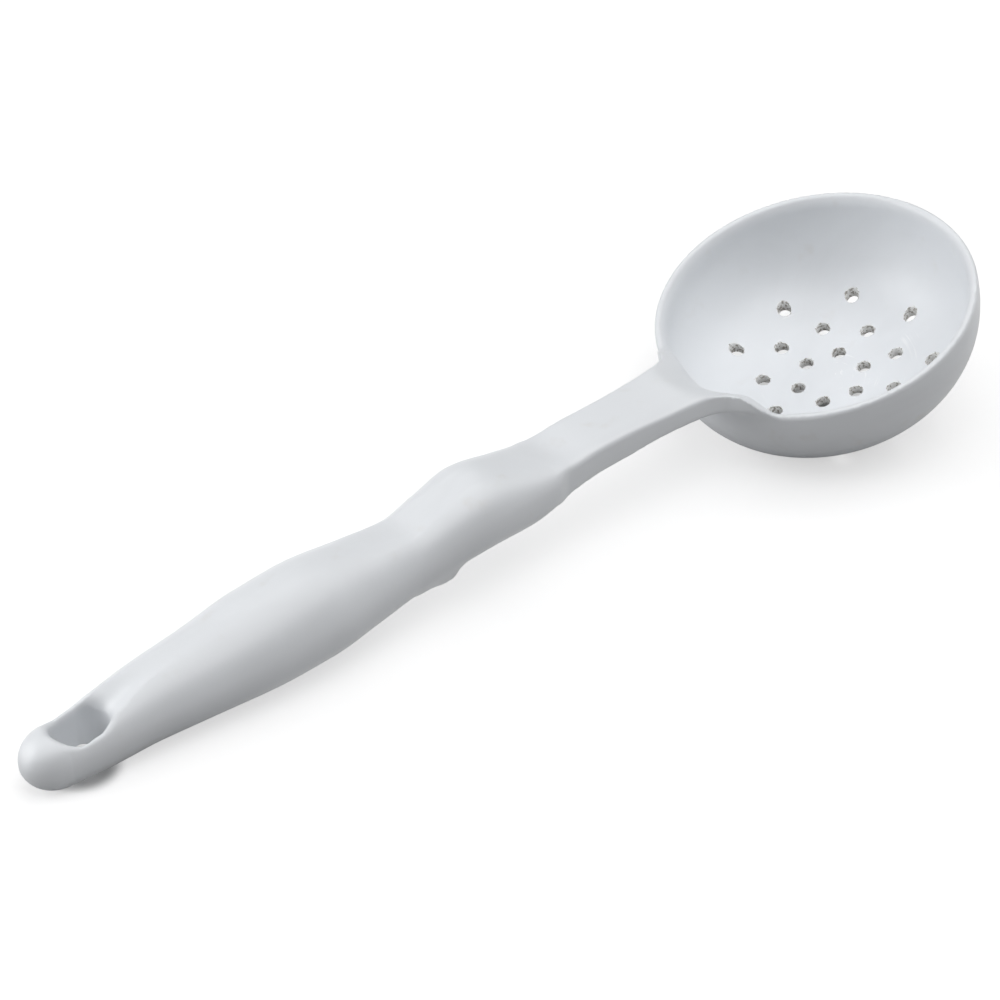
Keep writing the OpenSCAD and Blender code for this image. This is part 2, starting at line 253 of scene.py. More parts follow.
class LadleShape(PropertyGroup):
    """Sizes of the moulding."""

    bowl_d: FloatProperty(
        name="Rim diameter",
        description="Outer diameter of the rim, mm",
        default=89.0, min=60, max=110,
    )
    bowl_depth: FloatProperty(
        name="Bowl depth",
        description="Outside depth of the bowl, mm",
        default=33.0, min=20, max=40,
    )
    wall_t: FloatProperty(
        name="Wall",
        description="Thickness of the bowl's wall, mm",
        default=3.0, min=2, max=4,
    )
    fullness: FloatProperty(
        name="Fullness",
        description="Fullness of the bowl's curve, where 2 is an ellipse",
        default=2.4, min=2, max=3,
    )
    bowl_lean: FloatProperty(
        name="Lean",
        description="Lean of the rim, degrees",
        default=18.6, min=0, max=25,
    )
    grip_l: FloatProperty(
        name="Grip length",
        description="From the tip to the grip's nose, mm",
        default=154.0, min=120, max=180,
    )
    grip_w: FloatProperty(
        name="Grip width",
        description="Width of the grip's belly, mm",
        default=26.8, min=18, max=36,
    )
    hump_h: FloatProperty(
        name="Hump height",
        description="Height of the thumb hump, mm",
        default=32.5, min=24, max=40,
    )
    tip_round: FloatProperty(
        name="Tip rounding",
        description="Length over which the tip is rounded, mm",
        default=9.0, min=5, max=14,
    )
    thumb_depth: FloatProperty(
        name="Thumb hollow",
        description="Depth of the thumb's hollow, mm",
        default=1.3, min=0, max=3,
    )
    hang_w: FloatProperty(
        name="Hanging hole width",
        description="Width of the hanging hole at the table, mm",
        default=10.4, min=6, max=12,
    )
    hang_l: FloatProperty(
        name="Hanging hole length",
        description="Length of the hanging hole at the table, mm",
        default=14.2, min=8, max=18,
    )
    hang_s: FloatProperty(
        name="Hanging hole place",
        description="From the tip to the hole's middle, mm",
        default=16.0, min=12, max=20,
    )
    hang_draft: FloatProperty(
        name="Hanging hole draft",
        description="How much wider the hole is 13 mm up, mm",
        default=0.8, min=0, max=2,
    )
    hang_lip: FloatProperty(
        name="Hanging hole lip",
        description="Reach of the rounding at the hole's mouth, mm",
        default=2.6, min=0.2, max=4,
    )
    scoop_depth: FloatProperty(
        name="Scoop",
        description="Depth of the scoop that leads into the hanging hole, mm",
        default=3.0, min=0, max=5,
    )
    neck_w: FloatProperty(
        name="Neck width",
        description="Width of the neck, mm",
        default=18.0, min=12, max=24,
    )
    neck_t: FloatProperty(
        name="Neck thickness",
        description="Thickness of the neck, mm",
        default=7.4, min=4, max=10,
    )
    neck_raise: FloatProperty(
        name="Neck rise",
        description="Height of the neck above the rim at the root, mm",
        default=8.8, min=3, max=12,
    )
    nose_step: FloatProperty(
        name="Nose step",
        description="Step down from the grip's nose to the neck, mm",
        default=0.6, min=0, max=2,
    )
    nose_l: FloatProperty(
        name="Nose length",
        description="Length over which the nose steps down, mm",
        default=5.0, min=1, max=6,
    )
    shoulder_angle: FloatProperty(
        name="Shoulder angle",
        description="From the handle to the middle of each shoulder, degrees",
        default=26.0, min=15, max=30,
    )
    shoulder_spread: FloatProperty(
        name="Shoulder spread",
        description="Angle over which each shoulder rises, degrees",
        default=14.0, min=10, max=35,
    )
    rim_edge: FloatProperty(
        name="Rim edge",
        description="Reach of the rounding on the rim's outer edge, mm",
        default=1.6, min=0.2, max=3,
    )
    rim_round: FloatProperty(
        name="Rim rounding",
        description="Width of the rounding on the rim's inner edge, mm",
        default=2.2, min=0.2, max=3,
    )
    rim_roll: FloatProperty(
        name="Rim roll",
        description="Depth of the rounding on the rim's inner edge, mm",
        default=4.0, min=0.2, max=8,
    )
    root_roll_l: FloatProperty(
        name="Root roll length",
        description="Length over which the neck rolls down into the bowl, mm",
        default=17.0, min=1, max=24,
    )
    root_roll_h: FloatProperty(
        name="Root roll depth",
        description="Depth of the neck's roll at the shoulders, mm",
        default=4.4, min=0.5, max=14,
    )
    root_sink: FloatProperty(
        name="Root sink",
        description="How much deeper the roll is in the middle of the neck, mm",
        default=6.6, min=0, max=8,
    )
    root_blend: FloatProperty(
        name="Root rounding",
        description="Reach of the rounding between neck and bowl, mm",
        default=3.0, min=0.2, max=6,
    )
    stop_s: FloatProperty(
        name="Stop place",
        description="From the tip to the stop's face, mm",
        default=123.0, min=100, max=140,
    )
    stop_l: FloatProperty(
        name="Stop length",
        description="Length of the finger stop, mm",
        default=14.0, min=8, max=22,
    )
    stop_w: FloatProperty(
        name="Stop width",
        description="Width of the finger stop, mm",
        default=18.0, min=8, max=20,
    )
    stop_drop: FloatProperty(
        name="Stop drop",
        description="Reach of the stop below the grip, mm",
        default=3.4, min=1, max=5,
    )
    stop_square: FloatProperty(
        name="Stop squareness",
        description="How square the stop's section is, where 2 is an ellipse",
        default=3.0, min=2, max=6,
    )
    cell: FloatProperty(
        name="Net size",
        description="Size of the surface's meshes, mm",
        default=0.75, min=0.5, max=3,
    )


class LadleHoles(PropertyGroup):
    """Sizes of the drain holes."""

    drain_d: FloatProperty(
        name="Hole diameter",
        description="Diameter of each drain hole, mm",
        default=4.0, min=1, max=6,
    )
    pitch: FloatProperty(
        name="Ring step",
        description="Step from one ring of holes to the next, mm",
        default=9.6, min=6, max=11,
    )
    inner: IntProperty(
        name="Inner holes",
        description="Holes in the inner ring",
        default=6, min=3, max=8,
    )
    outer: IntProperty(
        name="Outer holes",
        description="Holes in each of the two outer rings",
        default=9, min=5, max=14,
    )
    edge: FloatProperty(
        name="Edge rounding",
        description="Radius of the holes' edges, mm",
        default=0.18, min=0.05, max=0.8,
    )
    # Reach of the pale lining (painted light) and of the dark specks (residue and painted shade)
    # round each hole
    residue_and_shade_reach: FloatProperty(
        name="Residue reach",
        description="How far residue reaches out from a hole, mm",
        default=0.35, min=0.1, max=3,
    )


class LadleFinish(PropertyGroup):
    """Colours and gloss of the plastic."""

    colour: FloatVectorProperty(
        name="Plastic",
        description="Colour of the plastic",
        default=(0.795, 0.817, 0.843), **COLOUR,
    )
    shade: FloatVectorProperty(
        name="Flow shade",
        description="Colour of the faint flow marks",
        default=(0.738, 0.757, 0.782), **COLOUR,
    )
    stain: FloatVectorProperty(
        name="Stain",
        description="Colour of the faint stains of use",
        default=(0.66, 0.64, 0.60), **COLOUR,
    )
    # Colour of dark specks that are partly residue and partly painted shade at the drain holes
    residue: FloatVectorProperty(
        name="Residue",
        description="Colour of the dark specks of residue at the drain holes",
        default=(0.20, 0.165, 0.12), **COLOUR,
    )
    # Painted light: a pale colour that lightens the shaded walls of the drain holes
    bore_painted_light: FloatVectorProperty(
        name="Lining",
        description="Colour of the pale residue that lines the drain holes",
        default=(0.96, 0.96, 0.95), **COLOUR,
    )
    worn: FloatVectorProperty(
        name="Worn",
        description="Colour of the pale marks that stirring leaves",
        default=(0.90, 0.91, 0.92), **COLOUR,
    )
    roughness: FloatProperty(
        name="Roughness",
        description="Roughness of the moulded surface",
        subtype="FACTOR", default=0.36, min=0, max=1,
    )


class LadleStage(PropertyGroup):
    """Table, light and camera."""

    table: FloatVectorProperty(
        name="Table",
        description="Colour of the table",
        default=(0.48, 0.48, 0.482), **COLOUR,
    )
    glow: FloatProperty(
        name="Table glow",
        description="How much paler than lit the table looks to the camera",
        default=0.61, min=0, max=1,
    )
    overhead: FloatProperty(
        name="Overhead light",
        description="Power of the overhead light",
        subtype="POWER", default=12.2, min=0, max=500,
    )
    back: FloatProperty(
        name="Back light",
        description="Power of the light on the far side, beyond the tip",
        subtype="POWER", default=9.2, min=0, max=500,
    )
    front: FloatProperty(
        name="Front light",
        description="Power of the light above the near side",
        subtype="POWER", default=2.4, min=0, max=500,
    )
    side: FloatProperty(
        name="Side light",
        description="Power of the light beyond the bowl",
        subtype="POWER", default=1.4, min=0, max=500,
    )


# The field


def smooth_curve(rows, column):
    """A function that runs smoothly through one column of rows, without overshoot."""
    place = np.array([r[0] for r in rows], float)
    value = np.array([r[column] for r in rows], float)
    slope = np.diff(value) / np.diff(place)
    before, after = slope[:-1], slope[1:]
    both = before + after
    inner = np.where(before * after <= 0, 0.0, 2 * before * after / np.where(both == 0, 1, both))
    tangent = np.concatenate([slope[:1], inner, slope[-1:]])

    def at(s):
        i = np.clip(np.searchsorted(place, s, side="right") - 1, 0, len(place) - 2)
        length = place[i + 1] - place[i]
        t = np.clip((s - place[i]) / length, 0, 1)
        return (
            value[i] * (1 + 2 * t) * (1 - t) ** 2
            + value[i + 1] * (3 - 2 * t) * t * t
            + tangent[i] * length * t * (1 - t) ** 2
            - tangent[i + 1] * length * t * t * (1 - t)
        )

    return at


def union(a, b, reach):
    """The smaller of two distances, rounded where they meet."""
    h = np.clip(0.5 + 0.5 * (b - a) / reach, 0, 1)
    return b + (a - b) * h - reach * h * (1 - h)


def cut(a, b, reach):
    """The larger of two distances, rounded where they meet."""
    return -union(-a, -b, reach)


def squared_ellipse(u, v, power, wide, high):
    """How far out of a squared ellipse a point lies, as a share, and how fast that grows."""
    g = np.maximum((u**power + v**power) ** (1 / power), TINY)
    steep = np.hypot((u / g) ** (power - 1) / wide, (v / g) ** (power - 1) / high)
    return g, steep


class Moulding:
    """The distance from the surface of the moulding, negative inside, in millimetres."""

    def __init__(self, p):
        self.p = p
        self.lip = p.wall_t * TOP_ROUND_SHARE
        self.radius = p.bowl_d / 2
        self.lean = math.radians(p.bowl_lean)
        a = np.radians(np.linspace(0, 90, PROFILE_POINTS))
        r = FLOOR_R + (self.radius - FLOOR_R) * np.sin(a) ** (2 / p.fullness)
        z = -self.lip - (p.bowl_depth - self.lip) * np.cos(a) ** (2 / p.fullness)
        self.bowl_z = float((r * math.sin(self.lean) - z * math.cos(self.lean)).max())
        far = float((r * math.cos(self.lean) - z * math.sin(self.lean)).max())
        self.bowl_x = LENGTH / 2 - far
        self.root_s = LENGTH / 2 + self.bowl_x - self.radius * math.cos(self.lean)
        self.root_top = self.bowl_z - self.radius * math.sin(self.lean) + p.neck_raise
        self.stop_swell = smooth_curve(STOP_SHARES, 1)
        self.places = np.arange(0, self.root_s + LIST_OVERRUN, LIST_STEP)
        self.columns = [*self.sections(), *self.hollows()]

    def sections(self):
        """Half width, top, underside and squareness of the handle at each listed place."""
        p = self.p
        rows = [
            (place * p.grip_l, wide * p.grip_w / 2, top * p.hump_h, under * p.hump_h, upper, lower)
            for place, wide, top, under, upper, lower in GRIP_SHARES
        ]
        start_top = rows[-1][2] - p.nose_step
        _, wide, _, thick, square = NECK_SHARES[0]
        under = start_top - p.neck_t * thick * NOSE_T_SHARE
        rows.append((p.grip_l + p.nose_l, p.neck_w / 2 * wide, start_top, under, square, square))
        neck_l = self.root_s - p.grip_l
        for place, wide, rise, thick, square in NECK_SHARES:
            s = p.grip_l + place * neck_l
            top = start_top + (self.root_top - start_top) * rise
            rows.append((s, wide * p.neck_w / 2, top, top - thick * p.neck_t, square, square))
        at = np.maximum(self.places, rows[0][0])
        return [smooth_curve(rows, k)(at) for k in range(1, len(rows[0]))]

    def hollows(self):
        """Depth and half width of the hollows in the handle's top at each listed place."""
        p = self.p
        middle, end = SCOOP_MOUTH_SHARES
        rows = [(p.hang_s, 0, middle), (p.hang_s + p.hang_l / 2, p.scoop_depth, end)]
        for shares, deepest in ((SCOOP_SHARES, p.scoop_depth), (THUMB_SHARES, p.thumb_depth)):
            rows += [(p.grip_l * place, deepest * depth, wide) for place, depth, wide in shares]
        inside = (self.places > rows[0][0]) & (self.places < rows[-1][0])
        depth = np.where(inside, smooth_curve(rows, 1)(self.places), 0)
        return [depth, smooth_curve(rows, 2)(self.places)]

    def handle(self, x, y, z):
        """Distance from the handle, with its rounded tip and the hollows in its top."""
        s = x + LENGTH / 2
        row = [np.interp(s, self.places, column) for column in self.columns]
        half_w, top, under, upper, lower, depth, reach = row
        middle, half_h = (top + under) / 2, (top - under) / 2
        side = np.clip(np.abs(y) / (reach * half_w), 0, 1)
        fade = np.clip(2 * (z - middle) / half_h, 0, 1)
        hollow = depth * (1 - side**2) ** HOLLOW_EDGE * fade
        up = z + hollow - middle
        power = np.where(up > 0, upper, lower)
        g, steep = squared_ellipse(np.abs(y) / half_w, np.abs(up) / half_h, power, half_w, half_h)
        q = np.maximum(1 - s / self.p.tip_round, 0)
        whole = np.sqrt(g * g + q * q)
        steep = np.hypot(g / whole * steep, q / whole / self.p.tip_round)
        return np.clip((whole - 1) / np.maximum(steep, TINY), *HANDLE_RANGE)

    def stop(self, x, y, z):
        """Distance from the finger stop: a swell of the grip's underside that ends in a face."""
        p = self.p
        s = x + LENGTH / 2
        top, under = [np.interp(s, self.places, self.columns[k]) for k in (1, 2)]
        middle = (top + under) / 2
        share = (s - p.stop_s + p.stop_l) / p.stop_l
        depth = middle - under + p.stop_drop * self.stop_swell(share)
        half_w = p.stop_w / 2
        u, v = np.abs(y) / half_w, np.maximum(middle - z, 0) / depth
        g, steep = squared_ellipse(u, v, p.stop_square, half_w, depth)
        body = np.clip((g - 1) / np.maximum(steep, TINY), *HANDLE_RANGE)
        ends = np.maximum(STOP_SHARES[0][0] - share, share - STOP_SHARES[-1][0]) * p.stop_l
        return np.maximum(np.maximum(body, ends), z - middle)

    def in_bowl(self, x, z):
        """A point's places in the bowl's own frame: along its mirror plane, and up."""
        dx, dz = x - self.bowl_x, z - self.bowl_z
        cos, sin = math.cos(self.lean), math.sin(self.lean)
        return dx * cos + dz * sin, -dx * sin + dz * cos

    def shell(self, r, level, radius, depth):
        """Distance from a bowl of this radius and depth."""
        wide, high = radius - FLOOR_R, depth - self.lip
        u = np.maximum(r - FLOOR_R, 0) / wide
        v = np.maximum(-level - self.lip, 0) / high
        g, steep = squared_ellipse(u, v, self.p.fullness, wide, high)
        return np.where(level > -self.lip, r - radius, (g - 1) / np.maximum(steep, TINY))

    def bowl(self, x, y, z):
        """Distance from the bowl's outside, and from its hollow with its rounded mouth."""
        p = self.p
        along, up = self.in_bowl(x, z)
        r = np.hypot(along, y)

        # The shoulders: near is 1 at the handle and 0 at the open rim
        turn = np.arctan2(np.abs(y), -along)
        t = (p.shoulder_angle + p.shoulder_spread / 2 - np.degrees(turn)) / p.shoulder_spread
        t = np.clip(t, 0, 1)
        near = t * t * (3 - 2 * t)
        deck = (p.neck_raise - self.radius * math.sin(self.lean)) / math.cos(self.lean)
        slant = math.tan(self.lean)
        rise = near * (deck + self.radius * np.cos(turn) * slant)
        level = up - np.clip(up + self.lip, 0, rise)
        outside = cut(self.shell(r, level, self.radius, p.bowl_depth), level, p.rim_edge)
        inner = self.shell(r, level, self.radius - p.wall_t, p.bowl_depth - p.wall_t)

        # The mouth: a roll that is longest at the handle and deepest in its middle
        wide = p.rim_round + (p.root_roll_l - p.rim_round) * near
        mid = np.clip(1 - np.degrees(turn) / (p.shoulder_angle * SINK_REACH_SHARE), 0, 1)
        sink = p.root_sink * mid * mid * (3 - 2 * mid)
        deep = p.rim_roll + (p.root_roll_h - p.rim_roll) * near + sink
        below = near * (deck - along * slant) - up + np.maximum(inner - wide, 0) / MOUTH_LIFT
        u, v = np.maximum(wide - inner, 0) / wide, np.maximum(deep - below, 0) / deep
        g = np.maximum(np.hypot(u, v), TINY)
        steep = np.hypot(u / g / wide, v / g / deep)
        return outside, (1 - g) / np.maximum(steep, LEAST_SLOPE)

    def hanging_hole(self, x, y, z):
        """Distance from the hanging hole, negative inside it."""
        p = self.p
        reach = (p.hang_l - p.hang_w) / 2
        along = np.maximum(np.abs(x + LENGTH / 2 - p.hang_s) - reach, 0)
        return np.hypot(along, y) - p.hang_w / 2 - p.hang_draft / 2 * z / HOLE_WALL_H

    def __call__(self, x, y, z):
        p = self.p
        outside, hollow = self.bowl(x, y, z)
        handle = union(self.handle(x, y, z), self.stop(x, y, z), STOP_BLEND)
        reach = np.where(z > HOLE_FOOT_H, p.hang_lip, HOLE_FOOT_ROUND)
        handle = cut(handle, -self.hanging_hole(x, y, z), reach)
        handle = cut(handle, x + LENGTH / 2 - self.root_s - HANDLE_OVERRUN, HANDLE_END_ROUND)
        return cut(union(handle, outside, p.root_blend), -hollow, MOUTH_ROUND)

    def slope(self, points, h=0.02):
        """The direction straight out of the surface, and how fast the distance grows."""
        out = np.empty_like(points)
        for k in range(3):
            step = np.zeros(3)
            step[k] = h
            ahead, behind = points + step, points - step
            out[:, k] = (self(*ahead.T) - self(*behind.T)) / (2 * h)
        return out


# The net


def net_surface(field, low, high, cell):
    """Points and quads on the zero surface of a field inside a box."""
    count = np.ceil((high - low) / cell).astype(int) + 1
    axes = [low[k] + cell * np.arange(count[k]) for k in range(3)]
    values = np.empty(count, np.float32)
    gy, gz = np.meshgrid(axes[1], axes[2], indexing="ij")
    for i, x in enumerate(axes[0]):
        values[i] = field(np.full_like(gy, x), gy, gz)
    solid = values < 0
    corners = [(i, j, k) for i in (0, 1) for j in (0, 1) for k in (0, 1)]
    nx, ny, nz = count - 1
    total = sum(solid[i : i + nx, j : j + ny, k : k + nz].astype(np.int8) for i, j, k in corners)
    cells = np.argwhere((total > 0) & (total < len(corners)))
    number = np.full((nx, ny, nz), -1, np.int32)
    number[tuple(cells.T)] = np.arange(len(cells))

    # A cell's point lies in the middle of where the surface crosses the cell's edges
    at_corner = {c: values[tuple((cells + c).T)] for c in corners}
    place = np.zeros((len(cells), 3))
    crossings = np.zeros(len(cells))
    for a in corners:
        for k in range(3):
            if a[k]:
                continue
            b = tuple(a[m] + (m == k) for m in range(3))
            va, vb = at_corner[a], at_corner[b]
            hit = (va < 0) != (vb < 0)
            t = np.where(hit, va / np.where(va == vb, 1, va - vb), 0)
            for m in range(3):
                place[:, m] += np.where(hit, a[m] + (t if m == k else 0), 0)
            crossings += hit
    points = low + cell * (cells + place / crossings[:, None])

    # Four cells meet at every grid edge that the surface crosses, and make one quad
    quads = []
    for k in range(3):
        m, n = (k + 1) % 3, (k + 2) % 3
        ahead = np.take(solid, range(1, count[k]), k)
        behind = np.take(solid, range(0, count[k] - 1), k)
        edges = np.argwhere(ahead != behind)
        inner = (edges[:, m] > 0) & (edges[:, n] > 0)
        inner &= (edges[:, m] < count[m] - 1) & (edges[:, n] < count[n] - 1)
        edges = edges[inner]
        em, en = np.eye(3, dtype=int)[m], np.eye(3, dtype=int)[n]
        ring = [edges - em - en, edges - en, edges, edges - em]
        faces = np.stack([number[tuple(c.T)] for c in ring], 1)
        flip = ahead[tuple(edges.T)]
        faces[flip] = faces[flip][:, ::-1]
        quads.append(faces)
    return points, np.concatenate(quads)


def even_out(points, quads):
    """Moves every point some way to the middle of its neighbours."""
    total = np.zeros_like(points)
    around = np.zeros(len(points))
    for a in range(4):
        b = quads[:, (a + 1) % 4]
        np.add.at(total, quads[:, a], points[b])
        np.add.at(total, b, points[quads[:, a]])
        np.add.at(around, quads[:, a], 1)
        np.add.at(around, b, 1)
    return points + EVEN_SHARE * (total / around[:, None] - points)


def lay_down(field, points):
    """Lays every point on the surface."""
    for _ in range(LAY_STEPS):
        steep = field.slope(points)
        gap = field(*points.T)
        share = gap / np.maximum((steep**2).sum(1), LEAST_SQUARE)
        points = points - steep * share[:, None]
    return points


def moulding_mesh(field, cell):
    """The moulding as one closed mesh, still without its drain holes."""
    low = np.array([-LENGTH / 2, -WIDTH / 2, 0]) - NET_MARGIN * cell
    high = np.array([LENGTH / 2, WIDTH / 2, HEIGHT]) + NET_MARGIN * cell
    points, quads = net_surface(field, low, high, cell)
    points = lay_down(field, points)
    for _ in range(SETTLE_ROUNDS):
        points = lay_down(field, even_out(points, quads))
    for k in range(3):
        lowest, highest = CAD_BOX[0][k] / MM + BOX_GAP, CAD_BOX[1][k] / MM - BOX_GAP
        points[:, k] = points[:, k].clip(lowest, highest)
    mesh = bpy.data.meshes.new("ladle")
    mesh.from_pydata((points * MM).tolist(), [], quads.tolist())
    mesh.validate()
    return mesh


# Objects and node trees


def new_object(name, data):
    """Adds an object at the origin."""
    piece = bpy.data.objects.new(name, data)
    bpy.context.scene.collection.objects.link(piece)
    return piece


class Nodes:
    """Short calls for laying out a node tree."""

    def __init__(self, tree):
        self.tree = tree

    def add(self, kind, inputs=(), **settings):
        """A node with these settings, whose inputs are linked or hold a value."""
        node = self.tree.nodes.new(kind)
        for name, value in settings.items():
            setattr(node, name, value)
        for name, value in dict(inputs).items():
            socket = node.inputs[name]
            if isinstance(value, bpy.types.NodeSocket):
                self.tree.links.new(value, socket)
            else:
                socket.default_value = value
        return node

    def math(self, operation, *values):
        kind = "ShaderNodeMath"
        return self.add(kind, dict(enumerate(values)), operation=operation).outputs[0]

    def plus(self, a, b):
        return self.math("ADD", a, b)

    def minus(self, a, b):
        return self.math("SUBTRACT", a, b)

    def times(self, a, b):
        return self.math("MULTIPLY", a, b)

    def hypot(self, a, b):
        return self.math("SQRT", self.plus(self.times(a, a), self.times(b, b)))

    def ramp(self, value, low, high):
        """Rises smoothly from 0 to 1 while the value goes from low to high."""
        inputs = {"Value": value, "From Min": low, "From Max": high}
        node = self.add("ShaderNodeMapRange", inputs, interpolation_type="SMOOTHSTEP")
        return node.outputs[0]


def empty_nodes(owner):
    """Clears the nodes of a material or a world."""
    owner.use_nodes = True
    owner.node_tree.nodes.clear()
    return Nodes(owner.node_tree)


# The drain holes


def drain_hole_tree(material):
    """Bores rings of round holes through the bowl, with rounded edges inside and out."""
    tree = bpy.data.node_groups.new("drain_holes", "GeometryNodeTree")
    face = tree.interface
    face.new_socket("Geometry", in_out="OUTPUT", socket_type="NodeSocketGeometry")
    face.new_socket("Geometry", in_out="INPUT", socket_type="NodeSocketGeometry")
    for name, kind in (
        ("Hole radius", "Float"),
        ("Edge rounding", "Float"),
        ("Ring step", "Float"),
        ("Inner holes", "Int"),
        ("Outer holes", "Int"),
        ("Rim radius", "Float"),
        ("Floor radius", "Float"),
        ("Depth", "Float"),
        ("Wall", "Float"),
        ("Fullness", "Float"),
        ("Lean", "Float"),
        ("Bowl place", "Vector"),
    ):
        face.new_socket(name, in_out="INPUT", socket_type="NodeSocket" + kind)
    n = Nodes(tree)
    given = n.add("NodeGroupInput").outputs
    edge, fullness = given["Edge rounding"], given["Fullness"]

    # One cutter: a rod whose rings are numbered from the top
    rings = len(CUTTER_SHARES)
    rod = n.add(
        "GeometryNodeMeshCylinder",
        {"Vertices": CUTTER_SIDES, "Side Segments": rings - 1, "Radius": 1.0, "Depth": 1.0},
    )
    spot = n.add("GeometryNodeInputPosition").outputs[0]
    height = n.add("ShaderNodeSeparateXYZ", {0: spot}).outputs["Z"]
    index = n.math("ROUND", n.times(n.minus(0.5, height), rings - 1.0))
    keep = n.add(
        "GeometryNodeStoreNamedAttribute",
        {"Geometry": rod.outputs["Mesh"], "Name": "ring", "Value": index},
        data_type="FLOAT",
        domain="POINT",
    )
    named = n.add("GeometryNodeInputNamedAttribute", {"Name": "ring"}, data_type="FLOAT")
    ring = named.outputs[0]

    def by_ring(shares):
        """One of these shares at each ring."""
        table = n.add("GeometryNodeIndexSwitch", {"Index": ring}, data_type="FLOAT")
        while len(table.index_switch_items) < rings:
            table.index_switch_items.new()
        for i, share in enumerate(shares):
            table.inputs[i + 1].default_value = share
        return table.outputs[0]

    wider, above, side = [by_ring(shares) for shares in zip(*CUTTER_SHARES)]
    scale = n.plus(given["Hole radius"], n.times(wider, edge))
    flat = n.add("ShaderNodeVectorMath", {0: spot, 1: (1, 1, 0)}, operation="MULTIPLY")
    sized = n.add(
        "ShaderNodeVectorMath",
        {0: flat.outputs[0], "Scale": scale},
        operation="SCALE",
    )
    cutter = n.add(
        "GeometryNodeSetPosition",
        {"Geometry": keep.outputs[0], "Position": sized.outputs[0]},
    )

    # The rings of holes
    every = n.add("GeometryNodeJoinGeometry")
    for step, (count, turn) in enumerate(DRAIN_RINGS):
        reach = n.times(given["Ring step"], step + 1.0)
        circle = n.add("GeometryNodeMeshCircle", {"Vertices": given[count], "Radius": reach})
        turned = n.add(
            "GeometryNodeTransform",
            {"Geometry": circle.outputs[0], "Rotation": (0, 0, math.radians(turn))},
        )
        placed = n.add(
            "GeometryNodeInstanceOnPoints",
            {"Points": turned.outputs[0], "Instance": cutter.outputs[0]},
        )
        tree.links.new(placed.outputs[0], every.inputs[0])
    real = n.add("GeometryNodeRealizeInstances", {"Geometry": every.outputs[0]})

    # Each ring of a cutter follows the inner or the outer face of the bowl's wall
    here = n.add("GeometryNodeInputPosition").outputs[0]
    place = n.add("ShaderNodeSeparateXYZ", {0: here}).outputs
    out_r = n.hypot(place["X"], place["Y"])
    inner_r = n.minus(given["Rim radius"], given["Wall"])
    inner_d = n.minus(given["Depth"], given["Wall"])
    lip = n.times(given["Wall"], TOP_ROUND_SHARE)

    def face_height(reach, depth):
        """Height of one face of the wall."""
        out = n.math("MAXIMUM", n.minus(out_r, given["Floor radius"]), 0.0)
        share = n.math("DIVIDE", out, n.minus(reach, given["Floor radius"]))
        rest = n.math("MAXIMUM", n.minus(1.0, n.math("POWER", share, fullness)), 0.0)
        curve = n.math("POWER", rest, n.math("DIVIDE", 1.0, fullness))
        return n.minus(n.times(lip, -1.0), n.times(n.minus(depth, lip), curve))

    inside = face_height(inner_r, inner_d)
    outside = face_height(given["Rim radius"], given["Depth"])
    level = n.add("ShaderNodeMix", {0: side, 2: inside, 3: outside}, data_type="FLOAT")
    level = n.plus(level.outputs[0], n.times(above, edge))
    where = n.add("ShaderNodeCombineXYZ", {"X": place["X"], "Y": place["Y"], "Z": level})
    laid = n.add(
        "GeometryNodeSetPosition",
        {"Geometry": real.outputs[0], "Position": where.outputs[0]},
    )
    lean = n.add("ShaderNodeCombineXYZ", {"Y": n.times(given["Lean"], -1.0)})
    set_down = n.add(
        "GeometryNodeTransform",
        {
            "Geometry": laid.outputs[0],
            "Rotation": lean.outputs[0],
            "Translation": given["Bowl place"],
        },
    )
    bored = n.add(
        "GeometryNodeMeshBoolean",
        {"Mesh 1": given["Geometry"], "Mesh 2": set_down.outputs[0]},
        operation="DIFFERENCE",
        solver="EXACT",
    )
    smooth = n.add("GeometryNodeSetShadeSmooth", {"Geometry": bored.outputs[0]})
    whole = n.add("GeometryNodeRealizeInstances", {"Geometry": smooth.outputs[0]})
    finish = n.add(
        "GeometryNodeSetMaterial",
        {"Geometry": whole.outputs[0], "Material": material},
    )
    n.add("NodeGroupOutput", {0: finish.outputs[0]})
    return tree


def run_tree(piece, tree, given):
    """Runs a tree on a piece with named inputs and keeps the result as a plain mesh."""
    modifier = piece.modifiers.new(tree.name, "NODES")
    modifier.node_group = tree
    sockets = {s.name: s.identifier for s in tree.interface.items_tree if s.in_out == "INPUT"}
    for name, value in given.items():
        modifier[sockets[name]] = value
    graph = bpy.context.evaluated_depsgraph_get()
    made = bpy.data.meshes.new_from_object(piece.evaluated_get(graph))
    piece.modifiers.remove(modifier)
    old = piece.data
    piece.data = made
    bpy.data.meshes.remove(old)


def vectors(items, name):
    """One vector of each item of a mesh, as rows."""
    values = np.empty(len(items) * 3, np.float32)
    items.foreach_get(name, values)
    return values.reshape(-1, 3)


def exact_shading(mesh, field):
    """Shades the moulding by the field's own slope, and the bores by their faces."""
    place = vectors(mesh.vertices, "co").astype(float) / MM
    normals = vectors(mesh.vertex_normals, "vector").astype(float)
    on = np.abs(field(*place.T)) < ON_SURFACE
    steep = field.slope(place[on])
    normals[on] = steep / np.linalg.norm(steep, axis=1)[:, None]
    mesh.normals_split_custom_set_from_vertices(normals.tolist())


